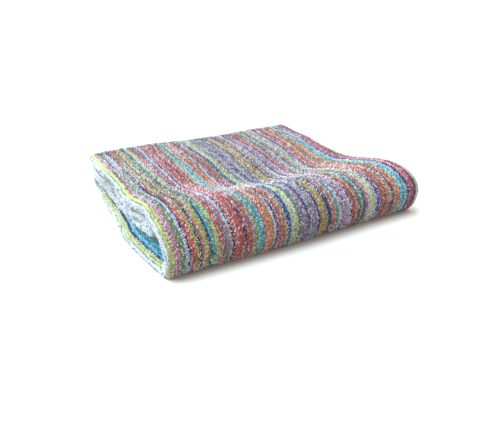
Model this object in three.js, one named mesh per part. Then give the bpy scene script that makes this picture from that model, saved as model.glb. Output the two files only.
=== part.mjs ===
import * as THREE from 'three';

// A terry bath towel, folded once across its width and twice along its length, lying flat.
// X runs along the front fold to the right, Y to the back and Z up, in millimetres.
// The width fold is at the left end, and the two long edges lie on each other at the right.
// That doubled strip then lies in four strips, named from the top down:
//   strip 1, from the hem at the back to the front, and around the big front roll into
//   strip 4, on the ground, then around the back fold into
//   strip 3, forwards to the inner front fold, and back as
//   strip 2, to the second hem.

// The cloth
const foldedWidth = 300;
const foldedDepth = 262;
const clothThickness = 3.4;
const hemThickness = 2.6;
const hemWidth = 9;

// The folded stack, with a row for each place along the front fold.
//   at          share of the folded width, from the left end
//   nose        how far the front roll reaches ahead of its mean line, and noseHeight its height
//   crest       height of the front roll, and crestAt its place behind the mean line
//   valley      height of the trough behind the roll, and valleyAt its place
//   shoulder    height behind the trough, and shoulderAt its place
//   back        height at the hem
//   lens        height of the opening between strips 3 and 4
//   slit        height of the opening between strips 1 and 2
//   loose       how much further apart the two layers of strip 1 are than those of the others
const sectionColumns = [
  'at', 'nose', 'noseHeight', 'crest', 'crestAt', 'valley', 'valleyAt', 'shoulder', 'shoulderAt', 'back',
  'lens', 'slit', 'loose',
];
const sections = [
  [0.00, -11, 17, 52, 64, 45, 120, 47, 180, 46, 12, 2, 2.5],
  [0.13, -8.5, 18, 52.5, 52, 44, 120, 46.5, 180, 47, 7, 1, 1.5],
  [0.25, -6, 20, 52, 44, 38, 116, 45, 180, 48, 2, 0.2, 0.3],
  [0.41, -3, 21, 51.5, 40, 34, 108, 45, 185, 47, 0, 0, 0],
  [0.65, -1, 22, 51.5, 38, 33, 112, 45, 195, 47, 0, 0, 0],
  [0.85, 1, 23, 51.5, 38, 34, 118, 45, 205, 48, 0, 0, 0],
  [1.00, 4, 24, 52.5, 36, 41, 122, 46, 210, 49, 0, 0, 0],
];
const lensAt = 68;
const lensHalfLength = 46;
const slitAt = 78;
const slitHalfLength = 60;
// most distance between the two layers of a strip, middle to middle
const loosePitch = 6;

// The front roll: its foot curves up over a short run, and the inner fold keeps clear of the
// part of it that is over a share of the nose's height.
const footRun = 14;
const rollAir = 1.5;
const rollWallShare = 0.6;

// Where the layers end. Each row: waves of the left fold and of the right edges of one strip,
// at four places from its front to its back.
const stripEdges = {
  1: { left: [0, -2, -3, -4], right: [7, 0, 0, 0] },
  2: { left: [3, 0, -1, -4], right: [-5, -4, -2, -3] },
  3: { left: [4, 1, 0, -1], right: [-6, -3, -4, -2] },
  4: { left: [0, -10, -5, -1], right: [6, 1, -3, -4] },
};
const innerLayerShort = 3;
const firstHemSetBack = 0;
const secondHemSetBack = 5;
const backFoldSetBack = 3;
// the back fold's height is taken this far ahead of the back
const backFoldReach = 12;

// How finely the solid is divided
const stripSteps = 14;
const rollSteps = 7;
const foldSteps = 6;
const hemSteps = 2;
const widthFoldSteps = 4;
const widthShares = [0, 0.035, 0.085, 0.16, 0.26, 0.38, 0.51, 0.64, 0.77, 0.89, 1];

const ease = (t) => 0.5 - 0.5 * Math.cos(Math.PI * Math.min(1, Math.max(0, t)));
const mix = (a, b, t) => a + (b - a) * t;
const bump = (y, centre, half) => ease(1 - Math.abs(y - centre) / half);

// Values at a share of a list of rows, by a smooth curve through them.
function throughRows(values, places, at) {
  let i = 0;
  while (i < places.length - 2 && at > places[i + 1]) i += 1;
  const span = places[i + 1] - places[i];
  const slope = (k) => {
    const before = Math.max(0, k - 1);
    const after = Math.min(places.length - 1, k + 1);
    return (values[after] - values[before]) / (places[after] - places[before]);
  };
  const t = Math.min(1, Math.max(0, (at - places[i]) / span));
  const t2 = t * t;
  const t3 = t2 * t;
  return (2 * t3 - 3 * t2 + 1) * values[i] + (t3 - 2 * t2 + t) * span * slope(i)
    + (3 * t2 - 2 * t3) * values[i + 1] + (t3 - t2) * span * slope(i + 1);
}

const sectionPlaces = sections.map((row) => row[0]);
function sectionAt(share) {
  const section = {};
  sectionColumns.forEach((name, column) => {
    section[name] = throughRows(sections.map((row) => row[column]), sectionPlaces, share);
  });
  return section;
}

// Height of the top face over the ground, at y behind the mean front line.
function topHeight(section, y) {
  const { crest, crestAt, valley, valleyAt, shoulder, shoulderAt, back } = section;
  if (y < valleyAt) return mix(crest, valley, ease((y - crestAt) / (valleyAt - crestAt)));
  if (y < shoulderAt) return mix(valley, shoulder, ease((y - valleyAt) / (shoulderAt - valleyAt)));
  return mix(shoulder, back, ease((y - shoulderAt) / (foldedDepth - shoulderAt)));
}

// The four strips' middle heights at y, the pitch of the two layers in a strip, and how much
// looser strip 1 is. The openings' heights come off first, and the eight layers share the rest.
function stackAt(section, y) {
  const height = topHeight(section, y);
  const lens = section.lens * bump(y, lensAt, lensHalfLength);
  const slit = section.slit * bump(y, slitAt, slitHalfLength);
  const loose = section.loose * bump(y, slitAt, slitHalfLength);
  const room = height - clothThickness - lens - slit - loose;
  const pitch = Math.min(room / 7, loosePitch);
  const spare = (room - 7 * pitch) / 3;
  const strip4 = clothThickness / 2 + pitch / 2;
  const strip3 = strip4 + 2 * pitch + lens + spare;
  const strip2 = strip3 + 2 * pitch + spare;
  const strip1 = strip2 + 2 * pitch + slit + spare + loose / 2;
  return { pitch, loose, middle: { 1: strip1, 2: strip2, 3: strip3, 4: strip4 } };
}

// The doubled strip's middle line in the section at one share of the width: a list of
// points from the first hem to the second. out is the direction of the outer layer.
function stripLine(share) {
  const section = sectionAt(share);
  const line = [];
  const front = section.crestAt;
  const backFold = foldedDepth - backFoldSetBack;
  const atBack = stackAt(section, foldedDepth - backFoldReach);
  const backRadius = (atBack.middle[3] - atBack.middle[4]) / 2;
  const rear = backFold - atBack.pitch - backRadius;

  const add = (strip, y, z, outY, outZ, pitch, thickness = clothThickness) => {
    line.push({ strip, y, z, outY, outZ, pitch, thickness });
  };
  const addOnStrip = (strip, y, out, thickness) => {
    const stack = stackAt(section, y);
    const pitch = stack.pitch + (strip === 1 ? stack.loose : 0);
    add(strip, y, stack.middle[strip], 0, out, pitch, thickness);
  };
  const addStrip = (strip, from, to, out) => {
    for (let k = 0; k <= stripSteps; k += 1) addOnStrip(strip, mix(from, to, k / stripSteps), out);
  };

  // strip 1, from its hem to the crest
  const firstHem = foldedDepth - firstHemSetBack;
  for (let k = 0; k <= hemSteps; k += 1) {
    const thickness = k < hemSteps ? hemThickness : clothThickness;
    addOnStrip(1, mix(firstHem, firstHem - hemWidth, k / hemSteps), 1, thickness);
  }
  addStrip(1, rear, front, 1);

  // the front roll, as two quarters of an ellipse around the nose: strip 1's looseness is
  // gone at its foot
  const noseY = -section.nose;
  const crest = stackAt(section, front);
  const outerReach = (crest.pitch + crest.loose / 2) / 2 + clothThickness / 2;
  const noseZ = section.noseHeight;
  const upperRun = front - noseY - outerReach;
  const upperRise = crest.middle[1] - noseZ;
  const lowerRun = footRun - outerReach;
  const lowerRise = noseZ - crest.middle[4];
  const quarter = (strip, run, rise, centreY, sign) => {
    for (let k = 1; k <= rollSteps; k += 1) {
      const angle = (k / rollSteps) * Math.PI / 2;
      const a = sign > 0 ? angle : Math.PI / 2 - angle;
      const normalY = -Math.sin(a) / run;
      const normalZ = sign * Math.cos(a) / rise;
      const size = Math.hypot(normalY, normalZ);
      const y = centreY - run * Math.sin(a);
      const z = noseZ + sign * rise * Math.cos(a);
      const looseShare = sign > 0 ? 1 - k / rollSteps / 2 : (1 - k / rollSteps) / 2;
      const pitch = crest.pitch + crest.loose * looseShare;
      add(strip, y, z, normalY / size, normalZ / size, pitch);
    }
  };
  quarter(1, upperRun, upperRise, front, 1);
  quarter(4, lowerRun, lowerRise, noseY + outerReach + lowerRun, -1);
  const roll = line.slice(-2 * rollSteps, -1).filter(({ z }) => z > noseZ * rollWallShare);

  // strip 4, on the ground to the back fold
  addStrip(4, front, rear, -1);
  for (let k = 1; k < foldSteps; k += 1) {
    const angle = (k / foldSteps) * Math.PI;
    const z = atBack.middle[4] + backRadius * (1 - Math.cos(angle));
    add(3, rear + backRadius * Math.sin(angle), z, Math.sin(angle), -Math.cos(angle), atBack.pitch);
  }

  // strip 3, forwards to the inner fold, which lies as far ahead as the outer roll lets it
  addStrip(3, rear, front, 1);
  const innerRadius = (crest.middle[2] - crest.middle[3]) / 2;
  const innerCentreZ = (crest.middle[2] + crest.middle[3]) / 2;
  const clear = innerRadius + crest.pitch + crest.loose / 2 + clothThickness + rollAir;
  const innerCentreY = Math.max(...roll.map(({ y, z }) => {
    return y + Math.sqrt(Math.max(0, clear ** 2 - (innerCentreZ - z) ** 2));
  }));
  for (let k = 0; k <= foldSteps; k += 1) {
    const angle = (k / foldSteps) * Math.PI;
    const y = innerCentreY - innerRadius * Math.sin(angle);
    const z = innerCentreZ - innerRadius * Math.cos(angle);
    add(2, y, z, Math.sin(angle), Math.cos(angle), crest.pitch);
  }

  // strip 2, back to its hem
  addStrip(2, front, rear, -1);
  const secondHem = foldedDepth - secondHemSetBack;
  for (let k = 0; k <= hemSteps; k += 1) {
    const thickness = k > 0 ? hemThickness : clothThickness;
    addOnStrip(2, mix(secondHem - hemWidth, secondHem, k / hemSteps), -1, thickness);
  }
  return line;
}

const edgePlaces = [0, 90, 180, foldedDepth];
function edgeAt(strip, side, y) {
  return throughRows(stripEdges[strip][side], edgePlaces, y);
}

// The cloth's middle surface: rows along its length, columns across its width, from the
// outer layer's right edge around the width fold at the left to the inner layer's.
function middleSurface() {
  const columns = [];
  for (const share of [...widthShares].reverse()) columns.push({ share, side: 1, angle: 0 });
  for (let k = 1; k < widthFoldSteps; k += 1) {
    columns.push({ share: 0, side: 0, angle: (k / widthFoldSteps) * Math.PI });
  }
  for (const share of widthShares) columns.push({ share, side: -1, angle: Math.PI });

  return columns.map(({ share, side, angle }) => stripLine(share).map((spot) => {
    const radius = spot.pitch / 2;
    const left = -foldedWidth / 2 + edgeAt(spot.strip, 'left', spot.y);
    const short = side < 0 ? innerLayerShort : 0;
    const right = foldedWidth / 2 + edgeAt(spot.strip, 'right', spot.y) - short;
    const across = side === 0 ? left + radius * (1 - Math.sin(angle)) : mix(left + radius, right, share);
    const offset = radius * Math.cos(angle);
    const place = new THREE.Vector3(across, spot.y + offset * spot.outY, spot.z + offset * spot.outZ);
    return { place, thickness: spot.thickness };
  }));
}

// A closed sheet around a grid of middle points, with its thickness along the normal.
function sheetGeometry(columns) {
  const width = columns.length;
  const length = columns[0].length;
  const within = (k, count) => Math.min(count - 1, Math.max(0, k));
  const at = (j, i) => columns[within(j, width)][within(i, length)].place;
  const positions = [];
  for (const side of [1, -1]) {
    for (let j = 0; j < width; j += 1) {
      for (let i = 0; i < length; i += 1) {
        const acrossCloth = new THREE.Vector3().subVectors(at(j + 1, i), at(j - 1, i));
        const alongCloth = new THREE.Vector3().subVectors(at(j, i + 1), at(j, i - 1));
        const normal = alongCloth.cross(acrossCloth).normalize();
        const point = at(j, i).clone().addScaledVector(normal, side * columns[j][i].thickness / 2);
        positions.push(point.x, point.y, point.z);
      }
    }
  }
  const indices = [];
  const corner = (side, j, i) => side * width * length + j * length + i;
  const quad = (a, b, c, d) => indices.push(a, b, c, a, c, d);
  for (let j = 0; j < width - 1; j += 1) {
    for (let i = 0; i < length - 1; i += 1) {
      quad(corner(0, j, i), corner(0, j, i + 1), corner(0, j + 1, i + 1), corner(0, j + 1, i));
      quad(corner(1, j, i), corner(1, j + 1, i), corner(1, j + 1, i + 1), corner(1, j, i + 1));
    }
  }
  for (let j = 0; j < width - 1; j += 1) {
    quad(corner(0, j, 0), corner(0, j + 1, 0), corner(1, j + 1, 0), corner(1, j, 0));
    const end = length - 1;
    quad(corner(0, j + 1, end), corner(0, j, end), corner(1, j, end), corner(1, j + 1, end));
  }
  for (let i = 0; i < length - 1; i += 1) {
    quad(corner(0, 0, i + 1), corner(0, 0, i), corner(1, 0, i), corner(1, 0, i + 1));
    const end = width - 1;
    quad(corner(0, end, i), corner(0, end, i + 1), corner(1, end, i + 1), corner(1, end, i));
  }
  const geometry = new THREE.BufferGeometry();
  geometry.setAttribute('position', new THREE.Float32BufferAttribute(positions, 3));
  geometry.setIndex(indices);
  return geometry;
}

const towelGeometry = sheetGeometry(middleSurface());
towelGeometry.computeBoundingBox();
const box = towelGeometry.boundingBox;
towelGeometry.translate(-(box.min.x + box.max.x) / 2, -(box.min.y + box.max.y) / 2, -box.min.z);
towelGeometry.computeVertexNormals();

const terry = new THREE.MeshStandardMaterial({ color: 0xb9a39c, roughness: 0.95, metalness: 0 });
const towel = new THREE.Mesh(towelGeometry, terry);
towel.name = 'towel';

const part = new THREE.Group();
part.add(towel);

export default part;
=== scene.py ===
# Folded bath towel in striped, looped terry, lying flat.
# The cloth is one thin sheet on the folds of the CAD model, and its pile is small closed
# loops on the faces that show. Lengths are in millimetres here, and in metres in Blender.
import math

import bpy
import numpy as np
from mathutils import Matrix, Vector


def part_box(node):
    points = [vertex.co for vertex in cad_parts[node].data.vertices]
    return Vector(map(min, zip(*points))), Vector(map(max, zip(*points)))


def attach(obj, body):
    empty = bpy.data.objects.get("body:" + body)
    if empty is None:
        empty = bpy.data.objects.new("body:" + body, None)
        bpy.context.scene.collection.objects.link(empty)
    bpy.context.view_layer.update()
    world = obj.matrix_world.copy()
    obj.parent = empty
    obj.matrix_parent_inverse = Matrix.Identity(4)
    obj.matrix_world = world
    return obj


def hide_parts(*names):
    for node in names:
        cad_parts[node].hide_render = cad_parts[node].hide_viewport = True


print("loading the frame")
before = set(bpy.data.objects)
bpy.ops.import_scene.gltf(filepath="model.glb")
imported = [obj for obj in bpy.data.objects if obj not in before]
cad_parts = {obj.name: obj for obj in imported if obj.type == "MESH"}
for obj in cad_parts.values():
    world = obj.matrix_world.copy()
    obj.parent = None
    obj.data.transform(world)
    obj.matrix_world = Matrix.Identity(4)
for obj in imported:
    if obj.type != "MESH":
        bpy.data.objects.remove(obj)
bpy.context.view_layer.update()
seed = 27
random = np.random.default_rng(seed)

# the cloth and its folded stack, as in the CAD model. The left and right rows say by strip
# how far its end is moved to the right, at the edge places from the front.
cloth = {
    "width": 300, "depth": 262, "cadThickness": 3.4,
    "bodyThickness": 2.3, "hemThickness": 2.0, "hemWidth": 9, "hemMargin": 0.1,
    "selvedgeThickness": 1.5, "selvedgeWidth": 5, "stripeWidth": 306, "length": 1040,
    "footRun": 14, "rollAir": 1.5, "rollContactFrom": 0.6, "loosePitch": 6,
    "lensAt": 68, "lensHalfLength": 46, "slitAt": 78, "slitHalfLength": 60,
    "innerLayerShort": 3, "firstHemSetBack": 0, "secondHemSetBack": 5,
    "backFoldSetBack": 3, "backSectionIn": 12,
    "edgePlaces": [0, 90, 180, 262],
    "left": {1: [0, -2, -3, -4], 2: [3, 0, -1, -4], 3: [4, 1, 0, -1], 4: [0, -10, -5, -1]},
    "right": {1: [7, 0, 0, 0], 2: [-5, -4, -2, -3], 3: [-6, -3, -4, -2], 4: [6, 1, -3, -4]},
}
# one column for each place along the front fold, given as a share of the width from the left
sections = {
    "at": [0, 0.13, 0.25, 0.41, 0.65, 0.85, 1],
    "nose": [-11, -8.5, -6, -3, -1, 1, 4],
    "noseHeight": [17, 18, 20, 21, 22, 23, 24],
    "crest": [52, 52.5, 52, 51.5, 51.5, 51.5, 52.5],
    "crestAt": [64, 52, 44, 40, 38, 38, 36],
    "valley": [45, 44, 38, 34, 33, 34, 41],
    "valleyAt": [120, 120, 116, 108, 112, 118, 122],
    "shoulder": [47, 46.5, 45, 45, 45, 45, 46],
    "shoulderAt": [180, 180, 180, 185, 195, 205, 210],
    "back": [46, 47, 48, 47, 47, 48, 49],
    "lens": [12, 7, 2, 0, 0, 0, 0],
    "slit": [2.0, 1, 0.2, 0, 0, 0, 0],
    "loose": [2.5, 1.5, 0.3, 0, 0, 0, 0],
}
grid = {
    "stripSteps": 66, "rollSteps": 24, "foldSteps": 14, "hemSteps": 4,
    "columns": 54, "widthFoldSteps": 12, "leftCrowding": 1.5, "selvedgeLines": [1.2, 3, 5.2],
}


# half a cosine wave from 0 at t = 0 to 1 at t = 1, flat at both ends
def ease(t):
    return 0.5 - 0.5 * np.cos(np.pi * np.clip(t, 0, 1))


def mix(a, b, t):
    return a + (b - a) * t


# cubic through the values at the places, with each slope taken from its two neighbours
def throughRows(values, places, at):
    values, places = np.asarray(values, float), np.asarray(places, float)
    slopes = np.gradient(values, places)
    slopes[1:-1] = (values[2:] - values[:-2]) / (places[2:] - places[:-2])
    i = np.clip(np.searchsorted(places, at, side="left") - 1, 0, len(places) - 2)
    span = places[i + 1] - places[i]
    t = np.clip((at - places[i]) / span, 0, 1)
    start = (2 * t**3 - 3 * t**2 + 1) * values[i] + (t**3 - 2 * t**2 + t) * span * slopes[i]
    end = (3 * t**2 - 2 * t**3) * values[i + 1] + (t**3 - t**2) * span * slopes[i + 1]
    return start + end


# height of the top face: crest, down to the trough, up to the shoulder, along to the back
def topHeight(section, y):
    run = (y - section["crestAt"]) / (section["valleyAt"] - section["crestAt"])
    front = mix(section["crest"], section["valley"], ease(run))
    run = (y - section["valleyAt"]) / (section["shoulderAt"] - section["valleyAt"])
    middle = mix(section["valley"], section["shoulder"], ease(run))
    run = (y - section["shoulderAt"]) / (cloth["depth"] - section["shoulderAt"])
    back = mix(section["shoulder"], section["back"], ease(run))
    return np.where(y < section["valleyAt"], front, np.where(y < section["shoulderAt"], middle, back))


# middle heights of the four strips at y, the pitch of a strip's two layers, and how much
# looser strip 1 is. What the openings leave of the height is shared by the seven pitches
# between the eight layers, and what those don't need by the three gaps between the strips.
def stackAt(section, y):
    lens = section["lens"] * ease(1 - abs(y - cloth["lensAt"]) / cloth["lensHalfLength"])
    nearSlit = ease(1 - abs(y - cloth["slitAt"]) / cloth["slitHalfLength"])
    slit, loose = section["slit"] * nearSlit, section["loose"] * nearSlit
    room = topHeight(section, y) - cloth["cadThickness"] - lens - slit - loose
    pitch = np.minimum(room / 7, cloth["loosePitch"])
    spare = (room - 7 * pitch) / 3
    strip4 = cloth["cadThickness"] / 2 + pitch / 2
    strip3 = strip4 + 2 * pitch + lens + spare
    strip2 = strip3 + 2 * pitch + spare
    strip1 = strip2 + 2 * pitch + slit + spare + loose / 2
    return pitch, loose, {1: strip1, 2: strip2, 3: strip3, 4: strip4}


# the doubled strip's middle line, for an array of shares of the width: runs of y, z, the
# outer layer's direction, pitch and strip, from the first hem to the second
def stripLines(share):
    section = {name: throughRows(row, sections["at"], share)[:, None] for name, row in sections.items()}
    ones = np.ones((len(share), 1))
    front = section["crestAt"]
    runs = []

    def add(strip, y, z, outY, outZ, pitch):
        runs.append([value * np.ones_like(y) for value in (y, z, outY, outZ, pitch, strip)])

    def addStrip(strip, start, stop, steps, out, first=0):
        t = np.arange(first, steps + 1)[None, :] / steps
        y = mix(start * ones, stop * ones, t)
        pitch, loose, middle = stackAt(section, y)
        add(strip, y, middle[strip], 0, out, pitch + loose * (strip == 1))

    backPitch, _, atBack = stackAt(section, (cloth["depth"] - cloth["backSectionIn"]) * ones)
    backRadius = (atBack[3] - atBack[4]) / 2
    rear = cloth["depth"] - cloth["backFoldSetBack"] - backPitch - backRadius

    # strip 1, from its hem to the crest
    hem = cloth["depth"] - cloth["firstHemSetBack"]
    addStrip(1, hem, hem - cloth["hemWidth"], grid["hemSteps"], 1)
    addStrip(1, hem - cloth["hemWidth"], front, grid["stripSteps"], 1, first=1)

    # the front roll: two quarters of an ellipse around the nose, with their normals
    pitch, loose, middle = stackAt(section, front)
    reach = (pitch + loose / 2) / 2 + cloth["cadThickness"] / 2
    noseY, noseZ = -section["nose"], section["noseHeight"]
    rollPoints = []
    upper = (1, 1, front - noseY - reach, middle[1] - noseZ, front)
    lowerRun = cloth["footRun"] - reach
    lower = (4, -1, lowerRun, noseZ - middle[4], noseY + reach + lowerRun)
    for strip, sign, across, up, centre in (upper, lower):
        way = np.arange(1, grid["rollSteps"] + 1)[None, :] / grid["rollSteps"]
        angle = (way if sign > 0 else 1 - way) * math.pi / 2
        looser = loose * (1 - (way if sign > 0 else 1 + way) / 2)
        y, z = centre - across * np.sin(angle), noseZ + sign * up * np.cos(angle)
        outY, outZ = -np.sin(angle) / across, sign * np.cos(angle) / up
        size = np.hypot(outY, outZ)
        add(strip, y, z, outY / size, outZ / size, pitch + looser)
        rollPoints.append((y, z))

    # strip 4 on the ground, and the back fold
    addStrip(4, front, rear, grid["stripSteps"], -1, first=1)
    angle = np.arange(1, grid["foldSteps"])[None, :] / grid["foldSteps"] * math.pi
    z = atBack[4] + backRadius * (1 - np.cos(angle))
    add(3, rear + backRadius * np.sin(angle), z, np.sin(angle), -np.cos(angle), backPitch)

    # strip 3, and the inner fold as far ahead as the roll lets it
    addStrip(3, rear, front, grid["stripSteps"], 1)
    radius, centreZ = (middle[2] - middle[3]) / 2, (middle[2] + middle[3]) / 2
    clear = radius + pitch + loose / 2 + cloth["cadThickness"] + cloth["rollAir"]
    y, z = [np.hstack(values) for values in zip(*rollPoints)]
    ahead = np.sqrt(np.maximum(0, clear**2 - (centreZ - z) ** 2))
    room = np.where(z > noseZ * cloth["rollContactFrom"], y + ahead, -math.inf)
    centreY = room.max(axis=1, keepdims=True)
    angle = np.arange(0, grid["foldSteps"] + 1)[None, :] / grid["foldSteps"] * math.pi
    y, z = centreY - radius * np.sin(angle), centreZ - radius * np.cos(angle)
    add(2, y, z, np.sin(angle), np.cos(angle), pitch)

    # strip 2, back to its hem
    hem = cloth["depth"] - cloth["secondHemSetBack"]
    addStrip(2, front, hem - cloth["hemWidth"], grid["stripSteps"], -1)
    addStrip(2, hem - cloth["hemWidth"], hem, grid["hemSteps"], -1, first=1)
    return [np.hstack(values) for values in zip(*runs)]


# the cloth's middle surface on a grid: columns run from the outer layer's right edge around
# the width fold to the inner layer's right edge, rows from the first hem to the second
def middleSurface():
    steps = np.linspace(0, 1, grid["columns"] + 1) ** grid["leftCrowding"]
    steps = np.sort(np.append(steps, 1 - np.array(grid["selvedgeLines"]) / cloth["width"]))
    turn = np.arange(1, grid["widthFoldSteps"]) / grid["widthFoldSteps"] * math.pi
    share = np.concatenate([steps[::-1], 0 * turn, steps])
    angle = np.concatenate([0 * steps, turn, 0 * steps + math.pi])[:, None]
    layer = np.concatenate([0 * steps + 1, 0 * turn, 0 * steps - 1])[:, None]
    y, z, outY, outZ, pitch, strip = stripLines(share)
    left, right = np.zeros_like(y), np.zeros_like(y)
    for number in (1, 2, 3, 4):
        here = strip == number
        left[here] = throughRows(cloth["left"][number], cloth["edgePlaces"], y[here])
        right[here] = throughRows(cloth["right"][number], cloth["edgePlaces"], y[here])
    left = left - cloth["width"] / 2
    right = right + cloth["width"] / 2 - np.where(layer < 0, cloth["innerLayerShort"], 0)
    radius = pitch / 2
    flat = mix(left + radius, right, share[:, None])
    x = np.where(layer == 0, left + radius * (1 - np.sin(angle)), flat)
    offset = radius * np.cos(angle)
    place = np.stack([x, y + offset * outY, z + offset * outZ], axis=-1)
    # how far the stripes are from the width fold's middle, plus on the outer layer
    around = (math.pi / 2 - angle) * radius
    beyond = share[:, None] * cloth["stripeWidth"] + math.pi / 2 * radius
    fromFold = np.where(layer == 0, around, layer * beyond)
    return place, fromFold, strip


# each row's distance along the cloth and each column's across it, as running sums of steps
def runningLength(place, axis):
    steps = np.linalg.norm(np.diff(place, axis=axis), axis=-1)
    first = np.zeros_like(np.take(steps, [0], axis=axis))
    return np.cumsum(np.concatenate([first, steps], axis=axis), axis=axis)


# unit vectors across and along the cloth at each grid point, and the normal between them
def directions(place):
    across, along = np.gradient(place, axis=0), np.gradient(place, axis=1)
    normal = np.cross(along, across)
    return [vector / np.linalg.norm(vector, axis=-1, keepdims=True) for vector in (across, along, normal)]


uneven = {
    # each lump is a share and two waves by x and y, and each wander a size and a wave along
    # and across the cloth
    "lumps": [(1, (29, 61, 0.7), (math.inf, 37, 1.1)), (0.5, (13, -19, 0), (41, 11, 0))],
    "lumpHeight": 0.8, "atHeight": 50,
    "wander": [(0.7, (31, 47, 0.4)), (0.4, (12, 23, 1.9))],
    "foldWaves": [(0.8, 15), (0.4, 6.5)], "foldReach": 25,
    "cornerLift": 1.5, "cornerFrom": (118, 235), "cornerSize": (32, 27),
}


def wave(x, y, byX, byY, phase):
    return np.sin(x / byX + y / byY + phase)


# soft lumps of the lying cloth: waves that grow with the height, so that no layers meet,
# small waves of the width fold's line, a slow wander of the stripes, and a lifted corner
def lumps(place, fromFold, strip):
    x, y, z = np.moveaxis(place, -1, 0)
    length = runningLength(place, 1).mean(axis=0)
    rise = sum(share * wave(x, y, *first) * wave(x, y, *second) for share, first, second in uneven["lumps"])
    rise = rise * uneven["lumpHeight"] * (z - cloth["cadThickness"] / 2) / uneven["atHeight"]
    foldWave = sum(size * np.sin(length / run) for size, run in uneven["foldWaves"])
    wander = sum(size * wave(length, fromFold, *runs) for size, runs in uneven["wander"])
    nearFold = np.exp(-((fromFold / uneven["foldReach"]) ** 2))
    aside = nearFold * foldWave + (1 - nearFold) * wander
    corner = uneven["cornerLift"] * (strip == 1)
    for way, start, size in zip((x, y), uneven["cornerFrom"], uneven["cornerSize"]):
        corner = corner * ease((way - start) / size)
    return place + np.stack([aside, 0 * y, rise + corner], axis=-1)


# a mesh from points and faces that all have the same number of corners
def makeMesh(name, points, faces, uv=None, shade=None):
    points, faces = np.asarray(points).reshape(-1, 3), np.asarray(faces)
    mesh = bpy.data.meshes.new(name)
    mesh.vertices.add(len(points))
    mesh.vertices.foreach_set("co", (points / 1000).astype(np.float32).ravel())
    mesh.loops.add(faces.size)
    mesh.loops.foreach_set("vertex_index", faces.astype(np.int32).ravel())
    mesh.polygons.add(len(faces))
    mesh.polygons.foreach_set("loop_start", np.arange(0, faces.size, faces.shape[1], dtype=np.int32))
    if uv is not None:
        layer = mesh.uv_layers.new(name="cloth")
        layer.uv.foreach_set("vector", uv.reshape(-1, 2)[faces.ravel()].astype(np.float32).ravel())
    if shade is not None:
        values = mesh.attributes.new("shade", "FLOAT", "POINT").data
        values.foreach_set("value", shade.astype(np.float32).ravel())
    mesh.polygons.foreach_set("use_smooth", np.ones(len(faces), bool))
    mesh.update(calc_edges=True)
    mesh.validate()
    piece = bpy.data.objects.new(name, mesh)
    bpy.context.collection.objects.link(piece)
    return piece


# a closed sheet: a face on each side of the middle surface, at its own distance, and a rim
def sheetPiece(name, sheet):
    place, normal = sheet["place"], sheet["normal"]
    columns, rows = place.shape[:2]
    index = np.arange(columns * rows).reshape(columns, rows)
    inner = index + columns * rows
    quads = [index[:-1, :-1], index[:-1, 1:], index[1:, 1:], index[1:, :-1]]
    faces = [np.stack(quads, -1).reshape(-1, 4), np.stack(quads[::-1], -1).reshape(-1, 4) + columns * rows]
    rim = np.concatenate([index[:-1, 0], index[-1, :-1], index[:0:-1, -1], index[0, :0:-1]])
    across, along = sheet["across"], sheet["along"]
    aside = np.zeros_like(place)
    aside[0] -= across[0]
    aside[-1] += across[-1]
    aside[:, 0] -= along[:, 0]
    aside[:, -1] += along[:, -1]
    flatPlace, flatAside = place.reshape(-1, 3), aside.reshape(-1, 3)
    size = np.linalg.norm(flatAside[rim], axis=1, keepdims=True)
    reach = sheet["half"][1].reshape(-1, 1)[rim]
    edge = flatPlace[rim] + flatAside[rim] / size * reach
    edgeIndex = 2 * columns * rows + np.arange(len(rim))
    nextRim, nextEdge = np.roll(rim, -1), np.roll(edgeIndex, -1)
    faces.append(np.stack([rim, nextRim, nextEdge, edgeIndex], -1))
    faces.append(np.stack([edgeIndex, nextEdge, inner.ravel()[nextRim], inner.ravel()[rim]], -1))
    sides = [(place + side * sheet["half"][side] * normal).reshape(-1, 3) for side in (1, -1)]
    points = np.concatenate([*sides, edge])
    flatUv = sheet["uv"].reshape(-1, 2)
    return makeMesh(name, points, np.concatenate(faces), np.concatenate([flatUv, flatUv, flatUv[rim]]))


# colours of the yarn, as they look on a screen, from 0 to 255
yarn = {
    "white": (224, 224, 236), "lime": (211, 212, 142), "pink": (209, 134, 160), "green": (120, 150, 106),
    "lilacWhite": (210, 205, 229), "navy": (32, 39, 109), "blue": (26, 79, 156), "rust": (207, 93, 65),
    "orange": (225, 132, 69), "salmon": (224, 143, 108), "olive": (177, 168, 77), "mustard": (192, 157, 68),
    "turquoise": (69, 185, 190), "sky": (104, 212, 240), "cream": (201, 201, 147), "rose": (207, 77, 94),
    "teal": (106, 144, 141), "lilac": (183, 167, 204), "seafoam": (129, 185, 159), "mauve": (157, 120, 148),
    "indigo": (68, 56, 149), "brown": (147, 82, 66), "beige": (200, 188, 162),
}
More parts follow.
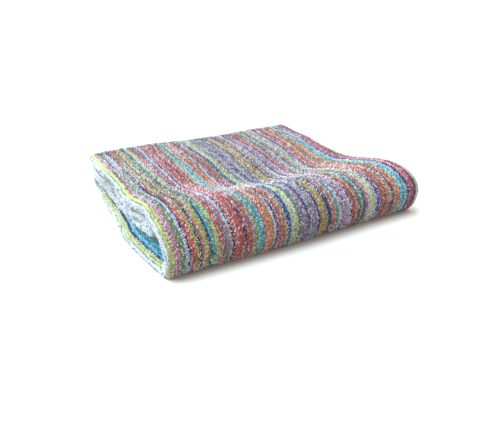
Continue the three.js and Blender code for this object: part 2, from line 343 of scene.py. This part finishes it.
# the stripes from the width fold outwards on each layer: a colour and the distance in
# millimetres to its far edge. Leftover yarns make them uneven, with no repeat. The span is
# the width that a whole uv square stands for, with the width fold at its middle.
stripes = {
    "span": 640,
    "outer": [
        ("white", 2.4), ("lime", 7.4), ("pink", 12.5), ("green", 17), ("lilacWhite", 19.2), ("navy", 21.4),
        ("rust", 26), ("olive", 28), ("navy", 31), ("orange", 34.5), ("cream", 37.8), ("olive", 40),
        ("navy", 42.4), ("turquoise", 44.6), ("cream", 49.5), ("rose", 54), ("teal", 56.4), ("pink", 59),
        ("lilacWhite", 62.5), ("navy", 65), ("rust", 68.2), ("rose", 70.6), ("rust", 74.5), ("navy", 77.5),
        ("rust", 80.2), ("mauve", 82.6), ("olive", 89), ("turquoise", 93), ("mauve", 95.4), ("salmon", 99.5),
        ("orange", 102.8), ("salmon", 106.6), ("lilacWhite", 108.8), ("navy", 111.2), ("rust", 114.2),
        ("mauve", 116.4), ("rust", 118.8), ("mustard", 121), ("blue", 127), ("cream", 133.5),
        ("olive", 136.5), ("teal", 139.5), ("mauve", 145.6), ("navy", 147.8), ("lilac", 150.4),
        ("green", 153.6), ("mauve", 158), ("navy", 160.5), ("mustard", 171.5), ("navy", 175.5),
        ("rust", 182.5), ("seafoam", 186), ("lilacWhite", 188.4), ("mauve", 195.2), ("pink", 197.8),
        ("lilacWhite", 200.5), ("navy", 203), ("rust", 211.5), ("mustard", 213.5), ("navy", 216.8),
        ("seafoam", 222), ("navy", 224.4), ("pink", 230), ("cream", 239), ("lilac", 241.8),
        ("indigo", 246.2), ("rust", 251), ("orange", 254.6), ("navy", 257.4), ("orange", 264.6),
        ("teal", 267.4), ("navy", 270), ("orange", 275.5), ("mustard", 279), ("turquoise", 286.5),
        ("lilacWhite", 290), ("navy", 293.4), ("rose", 302), ("navy", 304.2), ("beige", 320),
    ],
    "inner": [
        ("white", 3), ("lime", 7.8), ("navy", 10), ("sky", 26), ("blue", 32), ("pink", 39), ("brown", 44),
        ("lilacWhite", 50), ("green", 60), ("navy", 66), ("salmon", 76), ("turquoise", 79), ("mauve", 88),
        ("mustard", 94), ("indigo", 97), ("seafoam", 106), ("rust", 115), ("lilac", 121), ("blue", 124),
        ("orange", 133), ("cream", 141), ("rose", 147), ("navy", 150), ("teal", 158), ("salmon", 168),
        ("lilacWhite", 171), ("mauve", 180), ("turquoise", 184), ("navy", 187), ("mustard", 198),
        ("rust", 206), ("seafoam", 212), ("indigo", 215), ("pink", 224), ("cream", 233), ("blue", 237),
        ("orange", 246), ("mauve", 253), ("navy", 256), ("green", 262), ("salmon", 271), ("lilac", 277),
        ("rust", 285), ("navy", 288), ("turquoise", 293), ("mustard", 300), ("navy", 302), ("rose", 305),
        ("beige", 320),
    ],
    "rampStops": 30,
}
# shadeSpread spreads each loop's own brightness, which is painted highlight and painted shade of single
# loops
pile = {
    "spacingAcross": 1.75, "spacingAlong": 2.1, "unsteady": 0.14, "height": 1.2, "heightSpread": 0.28,
    "heightLimits": (0.5, 1.9), "lean": 0.28, "turn": 1.15, "turnSpread": 0.4,
    "reach": 0.95, "reachRange": (0.8, 1.2), "thick": 0.66, "thickRange": (0.85, 1.15),
    "sunk": 0.35, "overGround": 0.04, "rings": 2, "around": 4,
    "farStray": 6, "farShare": 0.06, "shadeSpread": 0.34,
    "streak": 70, "columnStray": 0.3, "oddShare": 0.15, "oddStray": 9,
    "columnShade": 0.5, "columnShadeSpread": 0.22,
    "plainFold": 12,
}


# roots of loops on part of one face of the cloth: a staggered, slightly unsteady lattice,
# read off the grid between its points. Each column keeps its place across the stripes. The
# selvedges and the hems, where edge is under 1, have none.
def pileRoots(sheet, columnRange, rowRange, side, tall):
    firstColumn, lastColumn = columnRange
    firstRow, lastRow = rowRange
    block = np.s_[firstColumn:lastColumn + 1, firstRow:lastRow + 1]
    face = sheet["place"][block] + side * sheet["half"][side][block] * sheet["normal"][block]
    alongLength = runningLength(face, 1).mean(axis=0)
    alongCount = max(2, round(alongLength[-1] / pile["spacingAlong"]))
    byColumn = sheet["uv"][block][..., 0].mean(axis=1) * stripes["span"] / pile["spacingAcross"]
    columns = np.arange(math.ceil(byColumn[-1] - 0.5), byColumn[0] - 0.5).astype(int)
    column, b = [values.ravel() for values in np.meshgrid(columns, np.arange(alongCount), indexing="ij")]
    b = b + 0.25 + 0.5 * (column % 2) + random.normal(0, pile["unsteady"], b.shape)
    along = b / alongCount * alongLength[-1]
    j = np.interp(column + 0.5, byColumn[::-1], np.arange(len(byColumn))[::-1]) + firstColumn
    i = np.interp(along, alongLength, np.arange(len(alongLength))) + firstRow
    j0 = np.minimum(j.astype(int), lastColumn - 1)
    i0 = np.minimum(i.astype(int), lastRow - 1)
    tj, ti = (j - j0)[:, None], (i - i0)[:, None]

    def between(values):
        near = mix(values[j0, i0], values[j0 + 1, i0], tj)
        far = mix(values[j0, i0 + 1], values[j0 + 1, i0 + 1], tj)
        return mix(near, far, ti)

    roots = {key: between(sheet[key]) for key in ("place", "normal", "across", "along", "uv", "edge")}
    roots["normal"] = side * roots["normal"]
    roots["place"] = roots["place"] + between(sheet["half"][side]) * roots["normal"]
    wanted = (column + 0.5) * pile["spacingAcross"]
    missed = roots["uv"][:, :1] * stripes["span"] - wanted[:, None]
    missed = missed + random.normal(0, pile["unsteady"], missed.shape) * pile["spacingAcross"]
    roots["place"] = roots["place"] + missed * roots["across"]
    roots["uv"][:, 0] = wanted / stripes["span"]
    roots["column"] = column
    roots["tall"] = np.full((len(j), 1), tall)
    return {key: values[roots["edge"][:, 0] > 1] for key, values in roots.items()}


# small closed beads, each on two feet: rings of points whose centres rise between the feet
# as a sine, and whose radius is the root of that sine, with a point at each foot
def beads(name, start, end, up, arch, radius, rings, around, uv, shade):
    count = len(start)
    way = (np.arange(1, rings + 1) / (rings + 1))[None, :, None, None]
    turn = (np.arange(around) / around * 2 * math.pi)[None, None, :, None]
    rise = np.sin(math.pi * way)
    run = end - start
    sidewards = np.cross(up, run / np.linalg.norm(run, axis=1, keepdims=True))
    start, end, run, up, sidewards, arch, radius = [
        values[:, None, None] for values in (start, end, run, up, sidewards, arch, radius)
    ]
    centre = start + run * way + up * arch * rise
    rim = centre + np.sqrt(rise) * radius * (up * np.cos(turn) + sidewards * np.sin(turn))
    points = np.concatenate([start[:, 0], rim.reshape(count, -1, 3), end[:, 0]], axis=1)
    points[..., 2] = np.maximum(points[..., 2], pile["overGround"])
    ring = 1 + np.arange(rings * around).reshape(rings, around)
    after = np.roll(ring, -1, axis=1)
    first, last = np.zeros(around, int), np.full(around, rings * around + 1)
    corners = [np.stack([first, ring[0], after[0]], -1), np.stack([last, after[-1], ring[-1]], -1)]
    for k in range(rings - 1):
        corners.append(np.stack([ring[k], ring[k + 1], after[k + 1]], -1))
        corners.append(np.stack([ring[k], after[k + 1], after[k]], -1))
    size = points.shape[1]
    faces = (np.concatenate(corners)[None] + size * np.arange(count)[:, None, None]).reshape(-1, 3)
    print(f"{name}: {count} beads, {len(faces)} triangles")
    uv, shade = np.repeat(uv[:, None], size, axis=1), np.repeat(shade[:, None], size, axis=1)
    return makeMesh(name, points, faces, uv, shade)


# how far beside their place the loops of each column take their stripe, and how bright they
# are, a streak of the column at a time
columnCount, streakCount = [
    int(size / pile[step]) + 2
    for size, step in ((stripes["span"], "spacingAcross"), (cloth["length"], "streak"))
]
yarnDrift = random.normal(0, pile["columnStray"], (columnCount, streakCount))
fromMiddle = abs((np.arange(columnCount) + 0.5) * pile["spacingAcross"] - stripes["span"] / 2)[:, None]
oddYarn = (random.random(yarnDrift.shape) < pile["oddShare"]) & (fromMiddle > pile["plainFold"])
yarnDrift = yarnDrift + oddYarn * random.normal(0, pile["oddStray"], yarnDrift.shape)
yarnShade = random.normal(pile["columnShade"], pile["columnShadeSpread"], yarnDrift.shape)
streakStart = random.uniform(0, 1, columnCount)


# loops of the pile: each is a bead that is turned and leans at random. It takes the stripe
# of its column's streak, and now and then of a place further off.
def pilePiece(name, groups):
    roots = {key: np.concatenate([group[key] for group in groups]) for key in groups[0]}
    count = len(roots["place"])
    turn = random.normal(pile["turn"], pile["turnSpread"], (count, 1))
    run = roots["across"] * np.cos(turn) + roots["along"] * np.sin(turn)
    reach = pile["reach"] * random.uniform(*pile["reachRange"], (count, 1))
    lean = random.normal(0, pile["lean"], (count, 2))
    up = roots["normal"] + roots["across"] * lean[:, :1] + roots["along"] * lean[:, 1:]
    up = up / np.linalg.norm(up, axis=1, keepdims=True)
    arch = random.normal(pile["height"], pile["heightSpread"], (count, 1)).clip(*pile["heightLimits"])
    arch = arch * roots["tall"] + pile["sunk"]
    radius = pile["thick"] * random.uniform(*pile["thickRange"], (count, 1))
    foot = roots["place"] - roots["normal"] * pile["sunk"]
    column = roots["column"]
    strayed = random.normal(0, pile["farStray"], count) * (random.random(count) < pile["farShare"])
    streak = (roots["uv"][:, 1] * cloth["length"] / pile["streak"] + streakStart[column]).astype(int)
    strayed = (strayed + yarnDrift[column, streak]) / stripes["span"]
    uv = np.stack([roots["uv"][:, 0] + strayed, roots["uv"][:, 1]], -1)
    # each loop's own random brightness, on top of its column's yarn tone, is painted highlight and painted
    # shade of single loops
    shade = (yarnShade[column, streak] + random.normal(0, pile["shadeSpread"], count)).clip(0, 1)
    start, end = foot - run * reach, foot + run * reach
    return beads(name, start, end, up, arch, radius, pile["rings"], pile["around"], uv, shade)


stitch = {"pitch": 2.6, "length": 2.1, "radius": 0.22, "arch": 0.12, "rings": 3, "around": 6, "shade": 0.5}


# lock stitches across the cloth on both faces, a row of the grid away from each hem's edge
def stitchPiece(name, sheet, row):
    starts, ends, ups, uvs = [], [], [], []
    for side in (1, -1):
        place, half, normal, uv = [
            values[:, row] for values in (sheet["place"], sheet["half"][side], sheet["normal"], sheet["uv"])
        ]
        face = place + side * (half + stitch["radius"] / 2) * normal
        length = runningLength(face, 0)
        count = int(length[-1] / stitch["pitch"])
        middle = (np.arange(count) + 0.5) * stitch["pitch"]
        near, far = middle - stitch["length"] / 2, middle + stitch["length"] / 2
        for wanted, into in ((near, starts), (far, ends)):
            into.append(np.stack([np.interp(wanted, length, column) for column in face.T], -1))
        ups.append(side * np.stack([np.interp(middle, length, column) for column in normal.T], -1))
        uvs.append(np.stack([np.interp(middle, length, column) for column in uv.T], -1))
    start, end, up, uv = [np.concatenate(parts) for parts in (starts, ends, ups, uvs)]
    arch, radius = [np.full((len(start), 1), stitch[size]) for size in ("arch", "radius")]
    shade = np.full(len(start), stitch["shade"])
    return beads(name, start, end, up, arch, radius, stitch["rings"], stitch["around"], uv, shade)


# a node's output: sums and products on it add their own maths nodes
class Wire:
    def __init__(self, nodes, socket):
        self.nodes, self.socket = nodes, socket

    def maths(self, operation, *values, clamp=False):
        settings = {"operation": operation, "use_clamp": clamp}
        return self.nodes.add("ShaderNodeMath", settings, dict(enumerate(values)))

    def __add__(self, other):
        return self.maths("ADD", self, other)

    __radd__ = __add__

    def __sub__(self, other):
        return self.maths("SUBTRACT", self, other)

    def __rsub__(self, other):
        return self.maths("SUBTRACT", other, self)

    def __mul__(self, other):
        return self.maths("MULTIPLY", self, other)

    __rmul__ = __mul__

    def over(self, limit):
        return self.maths("GREATER_THAN", self, limit)

    def clamped(self):
        return self.maths("ADD", self, 0, clamp=True)


# the nodes of a material or of the sky
class Nodes:
    def __init__(self, tree):
        self.tree = tree

    # settings first, a ramp's stops among them, then the values and links of the sockets
    def add(self, kind, settings=None, sockets=None, output=0):
        node = self.tree.nodes.new(kind)
        for name, value in (settings or {}).items():
            if name == "stops":
                ramp = node.color_ramp
                ramp.interpolation = "CONSTANT"
                for _ in value[2:]:
                    ramp.elements.new(1)
                for element, (position, colour) in zip(ramp.elements, value):
                    element.position, element.color = position, (*colour, 1)
            else:
                setattr(node, name, value)
        for name, value in (sockets or {}).items():
            self.put(node.inputs[name], value)
        return Wire(self, node.outputs[output])

    def put(self, socket, value):
        if isinstance(value, Wire):
            self.tree.links.new(value.socket, socket)
        elif socket.type == "RGBA" and len(value) == 3:
            socket.default_value = (*value, 1)
        else:
            socket.default_value = value

    def mixColour(self, factor, first, second, blend="MIX"):
        settings = {"data_type": "RGBA", "blend_type": blend}
        return self.add("ShaderNodeMix", settings, {0: factor, 6: first, 7: second}, output=2)

    def noise(self, scale, vector, detail=2):
        return self.add("ShaderNodeTexNoise", {}, {"Vector": vector, "Scale": scale, "Detail": detail})

    def darkened(self, colour, share):
        grey = self.add("ShaderNodeCombineColor", {}, {0: share, 1: share, 2: share})
        return self.mixColour(1.0, colour, grey, blend="MULTIPLY")


# one material, and its surface shader with the sockets that never vary
class Surface(Nodes):
    def __init__(self, name, fixed):
        self.material = bpy.data.materials.new(name)
        self.material.use_nodes = True
        super().__init__(self.material.node_tree)
        self.shader = self.tree.nodes["Principled BSDF"]
        for socket, value in fixed.items():
            self.shader.inputs[socket].default_value = value

    # roughness is its least and its range, and bump a strength and a distance
    def finish(self, colour, roughness, varied, bump=None, height=None):
        least, span = roughness
        self.put(self.shader.inputs["Base Color"], colour)
        self.put(self.shader.inputs["Roughness"], least + span * varied)
        if bump:
            strength, distance = bump
            sockets = {"Strength": strength, "Distance": distance, "Height": height}
            self.put(self.shader.inputs["Normal"], self.add("ShaderNodeBump", {}, sockets))
        return self.material


# from the colours of a screen to the amounts of light that a shader takes
def linear(colour):
    share = np.asarray(colour, float) / 255
    return tuple(np.where(share <= 0.04045, share / 12.92, ((share + 0.055) / 1.055) ** 2.4))


# the chart as stops across the cloth, from the inner layer's edge to the outer one's, with
# the width fold's middle at 0.5
def stripeStops():
    stops, near = [], 0
    for name, far in stripes["outer"]:
        stops.append((0.5 + near / stripes["span"], linear(yarn[name])))
        near = far
    for name, far in stripes["inner"]:
        stops.insert(0, (0.5 - far / stripes["span"], linear(yarn[name])))
    return stops


# the stripes by place across the cloth: several ramps, as one holds too few stops
def stripeColour(nodes, across):
    stops, most, colour = stripeStops(), stripes["rampStops"], None
    for first in range(0, len(stops), most):
        part = stops[first:first + most]
        ramp = nodes.add("ShaderNodeValToRGB", {"stops": part}, {"Fac": across})
        colour = ramp if colour is None else nodes.mixColour(across.over(part[0][0]), colour, ramp)
    return colour


# the light numbers below darken the ground's colour as painted shade: all of it under the pile, and most in
# the gaps between the low loops. The flecks are random tone.
terry = {
    "fixed": {"Sheen Weight": 0.75, "Sheen Roughness": 0.35, "Specular IOR Level": 0.6},
    "raggedScale": 0.9, "ragged": 2.2, "loopScale": 0.8, "loopsUneven": 0.7, "fleckScale": 1.3,
    "light": 0.7, "gapPaintedShade": 0.55, "loopLight": 0.5, "fleckLeast": 0.75, "fleckRange": 0.5,
    "hemTint": 0.25, "weaveScale": 0.6, "weaveBend": 0.6, "weaveHeight": 0.35,
    "roughness": (0.92, 0.06), "bump": (0.8, 0.0006),
}


# where a point is on the cloth: the shares across and along, and both in millimetres
def clothPlace(nodes):
    uv = nodes.add("ShaderNodeUVMap", {"uv_map": "cloth"})
    across, along = [nodes.add("ShaderNodeSeparateXYZ", {}, {"Vector": uv}, output=way) for way in (0, 1)]
    size = {0: uv, 1: (stripes["span"], cloth["length"], 0)}
    return across, along, nodes.add("ShaderNodeVectorMath", {"operation": "MULTIPLY"}, size)


# the ground of the terry: stripes with ragged edges, low loops in the bump, and pale plain
# weave at the hems. Its colour holds painted shade: it is darker all over under the pile, and
# darker still in the gaps between the low loops.
def groundMaterial(name):
    nodes = Surface(name, terry["fixed"])
    across, along, place = clothPlace(nodes)
    ragged = (nodes.noise(terry["raggedScale"], place) - 0.5) * (terry["ragged"] / stripes["span"])
    colour = stripeColour(nodes, across + ragged)
    cells = {"Vector": place, "Scale": terry["loopScale"], "Randomness": terry["loopsUneven"]}
    loops = nodes.add("ShaderNodeTexVoronoi", {"feature": "F1"}, cells)
    # painted shade: the colour is darker in the gaps between the low loops, and darker all over under the
    # pile
    light = (terry["gapPaintedShade"] + terry["loopLight"] * (1 - loops)).clamped()
    flecks = nodes.noise(terry["fleckScale"], place)
    light = terry["light"] * light * (terry["fleckLeast"] + terry["fleckRange"] * flecks)
    colour = nodes.darkened(colour, light.clamped())
    hem = cloth["hemWidth"] / cloth["length"]
    inHem = (hem - along).over(0) + along.over(1 - hem)
    plain = nodes.mixColour(terry["hemTint"], linear(yarn["lilacWhite"]), colour)
    colour = nodes.mixColour(inHem, colour, plain)
    bands = {"wave_type": "BANDS", "bands_direction": "X"}
    threads = {"Vector": place, "Scale": terry["weaveScale"], "Distortion": terry["weaveBend"], "Detail": 1}
    weave = nodes.add("ShaderNodeTexWave", bands, threads, output=1)
    height = inHem * weave * terry["weaveHeight"] + (1 - inHem) * (1 - loops)
    return nodes.finish(colour, terry["roughness"], flecks, terry["bump"], height)


loop = {
    "paleFrom": 0.6, "paleGain": 1.9, "darkest": 0.12, "gain": 1.4,
    "twistScale": 2600, "roughness": (0.6, 0.15), "bump": (0.5, 0.00015),
}


# the loops: each has the colour of its place in the stripes, and its own brightness. That
# brightness is part yarn tone, from its column's streak and white flecks, and part painted
# highlight and painted shade of single loops.
def loopMaterial(name):
    nodes = Surface(name, terry["fixed"])
    colour = stripeColour(nodes, clothPlace(nodes)[0])
    own = nodes.add("ShaderNodeAttribute", {"attribute_name": "shade"}, output=2)
    # painted highlight and painted shade, with yarn tone: the loop's shade lightens it toward white or
    # darkens it
    pale = nodes.mixColour((own - loop["paleFrom"]) * loop["paleGain"], colour, linear(yarn["white"]))
    colour = nodes.darkened(pale, (loop["darkest"] + loop["gain"] * own).clamped())
    twist = nodes.noise(loop["twistScale"], nodes.add("ShaderNodeTexCoord", output=3), detail=1)
    return nodes.finish(colour, loop["roughness"], twist, loop["bump"], twist)


thread = {
    "dark": (0.62, 0.61, 0.66), "light": (0.8, 0.8, 0.84),
    "twistScale": 3000, "roughness": (0.75, 0.1), "bump": (0.5, 0.0001),
}


# the sewing thread: grey, and lighter and darker by its twist
def threadMaterial(name):
    nodes = Surface(name, terry["fixed"])
    twist = nodes.noise(thread["twistScale"], nodes.add("ShaderNodeTexCoord", output=3), detail=1)
    colour = nodes.mixColour(twist, thread["dark"], thread["light"])
    return nodes.finish(colour, thread["roughness"], twist, thread["bump"], twist)


print("laying out the cloth")
place, fromFold, strip = middleSurface()
normal = directions(place)[2]
faces = np.concatenate([place + side * cloth["cadThickness"] / 2 * normal for side in (1, -1)])
rawLow, rawHigh = faces.min(axis=(0, 1)), faces.max(axis=(0, 1))
towelLow, towelHigh = [1000 * np.array(corner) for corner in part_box("towel")]
toFrame = (towelLow + towelHigh) / 2 - (rawLow + rawHigh) / 2
toFrame[2] = towelLow[2] - rawLow[2]
place = lumps(place, fromFold, strip) + toFrame
across, along, normal = directions(place)

acrossLength, alongLength = runningLength(place, 0), runningLength(place, 1)
fromSelvedge = np.minimum(acrossLength, acrossLength[-1:] - acrossLength)
fromHem = np.minimum(alongLength, alongLength[:, -1:] - alongLength)
inward = ease(fromSelvedge / cloth["selvedgeWidth"])
thickness = mix(cloth["selvedgeThickness"], cloth["bodyThickness"], inward)
hemmed = np.minimum(thickness, cloth["hemThickness"])
thickness = np.where(fromHem < cloth["hemWidth"] + cloth["hemMargin"], hemmed, thickness)
# under the stack the outer face, where it is level and low, lies on the ground itself
under = {"levelFrom": 0.55, "levelRun": 0.35, "below": 5, "belowRun": 2.5}
level = ease((normal[..., 2] - under["levelFrom"]) / under["levelRun"])
low = ease((under["below"] - place[..., 2]) / under["belowRun"])
grounded = mix(thickness / 2, cloth["cadThickness"] / 2, level * low)
sheet = {
    "place": place, "normal": normal, "across": across, "along": along,
    "half": {1: thickness[..., None] / 2, -1: grounded[..., None]},
    "uv": np.stack([0.5 + fromFold / stripes["span"], alongLength / alongLength[:, -1:]], -1),
    "edge": np.minimum(fromSelvedge / cloth["selvedgeWidth"], fromHem / cloth["hemWidth"])[..., None],
}
lastColumn, lastRow = place.shape[0] - 1, place.shape[1] - 1
print(f"columns {lastColumn + 1}, rows {lastRow + 1}, length {alongLength[:, -1].mean():.0f} mm,"
      f" width {acrossLength[-1].mean():.0f} mm, moved by {toFrame.round(2)}")

# places on the grid: the width fold's first and last column, and rows where the strips turn
foldColumn = grid["columns"] + len(grid["selvedgeLines"])
innerColumn = foldColumn + grid["widthFoldSteps"]
crestRow = grid["hemSteps"] + grid["stripSteps"]
footRow = crestRow + 2 * grid["rollSteps"]
rearRow = footRow + grid["stripSteps"]
backRow = rearRow + grid["foldSteps"]
innerRow = backRow + grid["stripSteps"]
troughRow = crestRow // 2

print("sewing the ground")
towelPiece = sheetPiece("towel_ground", sheet)
towelPiece.data.materials.append(groundMaterial("terry_ground"))

print("raising the pile")
# where loops stand: columns, rows, outside or inside of the doubled cloth, and their share of
# the full height. Some stand in the openings at the left end, and some at the long edges.
outer = (0, foldColumn)
margin, lensColumns, edgeColumns = 5, 17, 4
beforeFoot, afterFoot, beforeInner = 14, 30, 28
outside, inside = -1, 1
full, inLens, nearFold, atEdge = 1, 0.8, 0.7, 0.6
lensRange = (innerColumn + margin, innerColumn + lensColumns)
firstEdge, lastEdge = (0, edgeColumns), (lastColumn - edgeColumns, lastColumn)
pileRegions = {
    "pile_back": [(outer, (0, troughRow), outside, full)],
    "pile_front": [(outer, (troughRow, crestRow), outside, full)],
    "pile_roll": [(outer, (crestRow, footRow), outside, full)],
    "pile_left": [
        ((foldColumn, innerColumn), (0, lastRow), outside, full),
        ((foldColumn - margin, foldColumn), (rearRow, lastRow), outside, nearFold),
        ((innerColumn, innerColumn + margin), (0, lastRow), outside, nearFold),
        (lensRange, (footRow - beforeFoot, footRow + afterFoot), outside, inLens),
        (lensRange, (innerRow - beforeInner, innerRow), outside, inLens),
    ],
    "pile_ends": [
        (outer, (rearRow, backRow), outside, full),
        (firstEdge, (footRow, lastRow), outside, atEdge),
        (firstEdge, (0, lastRow), inside, atEdge),
        (lastEdge, (0, lastRow), outside, atEdge),
        (lastEdge, (0, lastRow), inside, atEdge),
    ],
}
loopLooks = loopMaterial("terry_loops")
pieces = []
for name, regions in pileRegions.items():
    piece = pilePiece(name, [pileRoots(sheet, *region) for region in regions])
    piece.data.materials.append(loopLooks)
    pieces.append(piece)

print("stitching the hems")
threadLooks = threadMaterial("hem_thread")
rowsIn = grid["hemSteps"] - 1
stitchRows = {"stitches_top_hem": rowsIn, "stitches_lower_hem": lastRow - rowsIn}
for name, row in stitchRows.items():
    piece = stitchPiece(name, sheet, row)
    piece.data.materials.append(threadLooks)
    pieces.append(piece)

print("setting up the floor, the lights and the camera")
studio = {
    "floorHalf": 14000, "floorColour": (0.71, 0.67, 0.63), "floorDarker": 0.98, "floorScale": 3,
    "floorRoughness": (0.8, 0.1), "floorShine": 0.2,
    "skyColour": (1, 0.965, 0.93), "skyFront": 0.7, "skyBack": 1.12, "skyTowards": (0.55, 0.83, 0),
    "skyMiddle": 0.5, "skyTurn": 0.8,
    "sunFrom": (-0.55, 0.5, 1.0), "sunStrength": 6.3, "sunSpread": 65,
    "sunColour": (0.9, 1.19, 1.32),
}
# the camera's place is given from the middle of the front fold's mean line, on the ground
camera = {
    "at": (-255.2, -268.8, 215.5), "lens": 29.69, "sensor": 36,
    "down": 27.03, "aside": 33.39, "roll": 1.588,
}

edge = studio["floorHalf"]
corners = [(-edge, -edge, 0), (edge, -edge, 0), (edge, edge, 0), (-edge, edge, 0)]
floor = makeMesh("floor", corners, [[0, 1, 2, 3]])
paper = Surface("floor", {"Specular IOR Level": studio["floorShine"]})
mottle = paper.noise(studio["floorScale"], paper.add("ShaderNodeTexCoord", output=3))
darker = tuple(studio["floorDarker"] * part for part in studio["floorColour"])
paperColour = paper.mixColour(mottle, studio["floorColour"], darker)
floor.data.materials.append(paper.finish(paperColour, studio["floorRoughness"], mottle))

# the sky is brighter behind the towel than on the camera's side
world = bpy.data.worlds.new("studio")
bpy.context.scene.world = world
world.use_nodes = True
sky = Nodes(world.node_tree)
behind = {0: sky.add("ShaderNodeTexCoord", output=0), 1: studio["skyTowards"]}
facing = sky.add("ShaderNodeVectorMath", {"operation": "DOT_PRODUCT"}, behind, output=1)
backShare = (studio["skyMiddle"] + studio["skyTurn"] * facing).clamped()
background = world.node_tree.nodes["Background"]
sky.put(background.inputs["Color"], studio["skyColour"])
strength = studio["skyFront"] + (studio["skyBack"] - studio["skyFront"]) * backShare
sky.put(background.inputs["Strength"], strength)
bpy.context.scene.view_settings.view_transform = "Standard"

sun = bpy.data.lights.new("sun", "SUN")
sun.energy = studio["sunStrength"]
sun.angle = math.radians(studio["sunSpread"])
sun.color = studio["sunColour"]
lamp = bpy.data.objects.new("sun", sun)
bpy.context.collection.objects.link(lamp)
lamp.rotation_euler = (-Vector(studio["sunFrom"])).to_track_quat("-Z", "Y").to_euler()

# the camera looks down and to the right of straight ahead, and is a little rolled
down, aside, roll = [math.radians(camera[name]) for name in ("down", "aside", "roll")]
view = Matrix.Rotation(-aside, 4, "Z") @ Matrix.Rotation(math.pi / 2 - down, 4, "X")
view = view @ Matrix.Rotation(roll, 4, "Z")
eye = bpy.data.objects.new("camera", bpy.data.cameras.new("camera"))
bpy.context.collection.objects.link(eye)
eye.matrix_world = Matrix.Translation((np.array(camera["at"]) + toFrame) / 1000) @ view
eye.data.lens = camera["lens"]
eye.data.sensor_width = camera["sensor"]
bpy.context.scene.camera = eye

print("handing over")
for piece in [towelPiece, *pieces]:
    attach(piece, "root")
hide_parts("towel")
